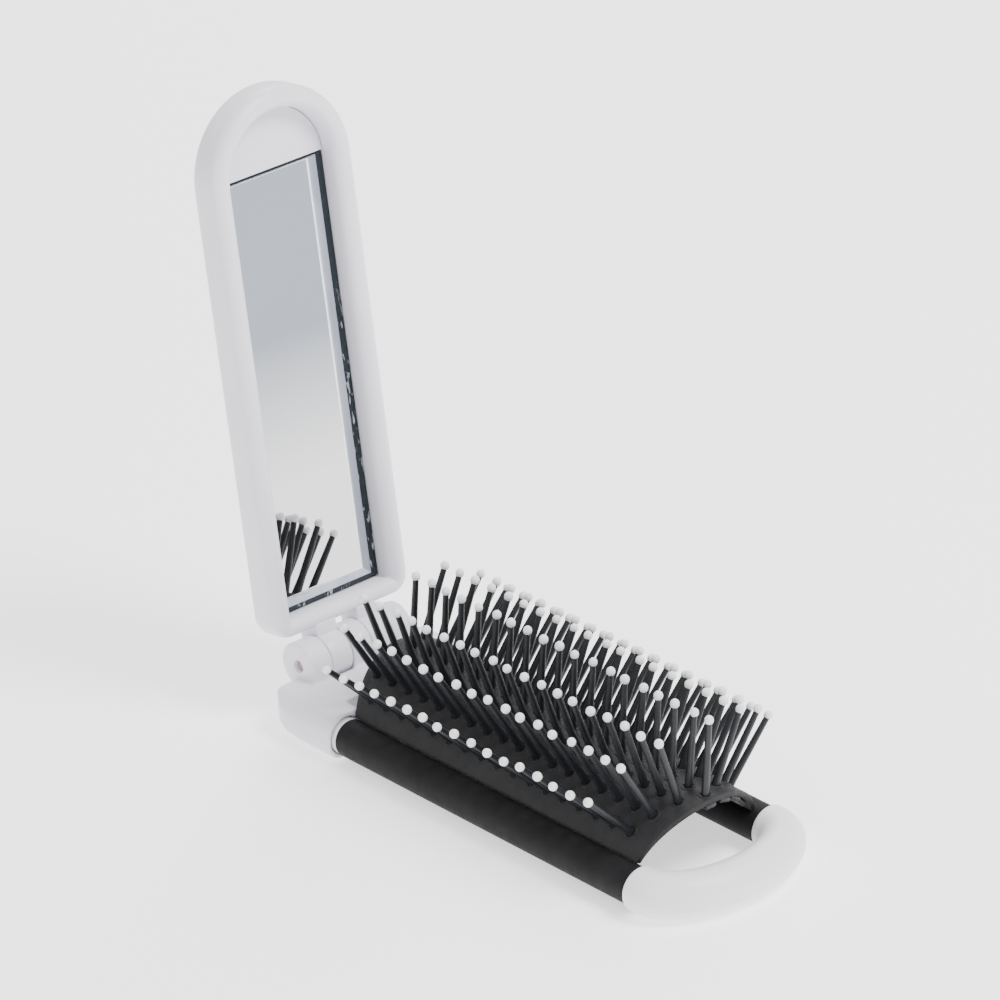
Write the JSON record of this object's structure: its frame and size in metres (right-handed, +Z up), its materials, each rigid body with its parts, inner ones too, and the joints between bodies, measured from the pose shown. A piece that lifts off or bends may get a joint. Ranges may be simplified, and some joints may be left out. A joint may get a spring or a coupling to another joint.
{
  "type": "folding hairbrush with mirror",
  "caption": "Compact folding hairbrush: an arched black pad of ball-tipped pins in a looped white frame, hinged to a rounded white cover with a bevelled mirror inside.",
  "frame": {"origin": "middle of the hinge block's flat underside, the face that the brush rests on with its cover standing open", "axes": "+X runs along the brush from the hinge towards the bow, +Y across it, +Z up"},
  "size_m": [0.1408, 0.0486, 0.1263],
  "materials": {
    "shell_white": "pale lilac-white injection-moulded plastic, smooth, softly glossy",
    "rubber_black": "matte black soft rubber",
    "pin_black": "glossy black moulded nylon",
    "tip_white": "white dipped balls, softly glossy",
    "mirror_face": "silvered bevelled glass",
    "tape_white": "foam adhesive pad",
    "pin_steel": "plain steel hinge pin, satin"
  },
  "bodies": {
    "base": {"hinge_block": "shell_white", "bow_frame": "shell_white", "grip_sleeve_near": "rubber_black", "grip_sleeve_far": "rubber_black", "bristle_pad": "rubber_black"},
    "pin": {"hinge_pin": "pin_steel"},
    "cover": {"cover_shell": "shell_white", "mirror_plate": "shell_white", "mirror_tape": "tape_white", "mirror_glass": "mirror_face"},
    "row_1": {"bristle_row_1": "pin_black", "tip_row_1": "tip_white"},
    "row_2": {"bristle_row_2": "pin_black", "tip_row_2": "tip_white"},
    "row_3": {"bristle_row_3": "pin_black", "tip_row_3": "tip_white"},
    "row_4": {"bristle_row_4": "pin_black", "tip_row_4": "tip_white"},
    "row_5": {"bristle_row_5": "pin_black", "tip_row_5": "tip_white"},
    "row_6": {"bristle_row_6": "pin_black", "tip_row_6": "tip_white"},
    "row_7": {"bristle_row_7": "pin_black", "tip_row_7": "tip_white"}
  },
  "joints": [
    {"name": "cover_open", "type": "hinge", "parent": "base", "child": "pin", "pos_m": [-0.012, 0, 0.0115], "axis": [0, -1, 0], "range_deg": [0, 82.5]},
    {"name": "cover_close", "type": "hinge", "parent": "pin", "child": "cover", "pos_m": [-0.012, 0, 0.0115], "axis": [0, 1, 0], "range_deg": [0, 97.5]},
    {"name": "row_1_fold", "type": "hinge", "parent": "base", "child": "row_1", "pos_m": [0.048, -0.02453, 0.00345], "axis": [-1, 0, 0], "range_deg": [0, 59]},
    {"name": "row_2_fold", "type": "hinge", "parent": "base", "child": "row_2", "pos_m": [0.048, -0.03243, 0.0045], "axis": [-1, 0, 0], "range_deg": [0, 40.5]},
    {"name": "row_3_fold", "type": "hinge", "parent": "base", "child": "row_3", "pos_m": [0.048, -0.04934, 0.00604], "axis": [-1, 0, 0], "range_deg": [0, 25]},
    {"name": "row_4_drop", "type": "slide", "parent": "base", "child": "row_4", "axis": [0, 0, -1], "range_m": [0, 0.02062], "deforming": ["bristle_pad"]},
    {"name": "row_5_fold", "type": "hinge", "parent": "base", "child": "row_5", "pos_m": [0.048, 0.04468, 0.00699], "axis": [1, 0, 0], "range_deg": [0, 28]},
    {"name": "row_6_fold", "type": "hinge", "parent": "base", "child": "row_6", "pos_m": [0.048, 0.03127, 0.00522], "axis": [1, 0, 0], "range_deg": [0, 43]},
    {"name": "row_7_fold", "type": "hinge", "parent": "base", "child": "row_7", "pos_m": [0.048, 0.02631, 0.00368], "axis": [1, 0, 0], "range_deg": [0, 54]}
  ],
  "couplings": [
    {"joint": "row_1_fold", "follows": "cover_close", "ratio": 0.60502},
    {"joint": "row_2_fold", "follows": "cover_close", "ratio": 0.41528},
    {"joint": "row_3_fold", "follows": "cover_close", "ratio": 0.2563},
    {"joint": "row_4_drop", "follows": "cover_close", "m_per_rad": 0.012116},
    {"joint": "row_5_fold", "follows": "cover_close", "ratio": 0.28707},
    {"joint": "row_6_fold", "follows": "cover_close", "ratio": 0.44092},
    {"joint": "row_7_fold", "follows": "cover_close", "ratio": 0.55374}
  ]
}
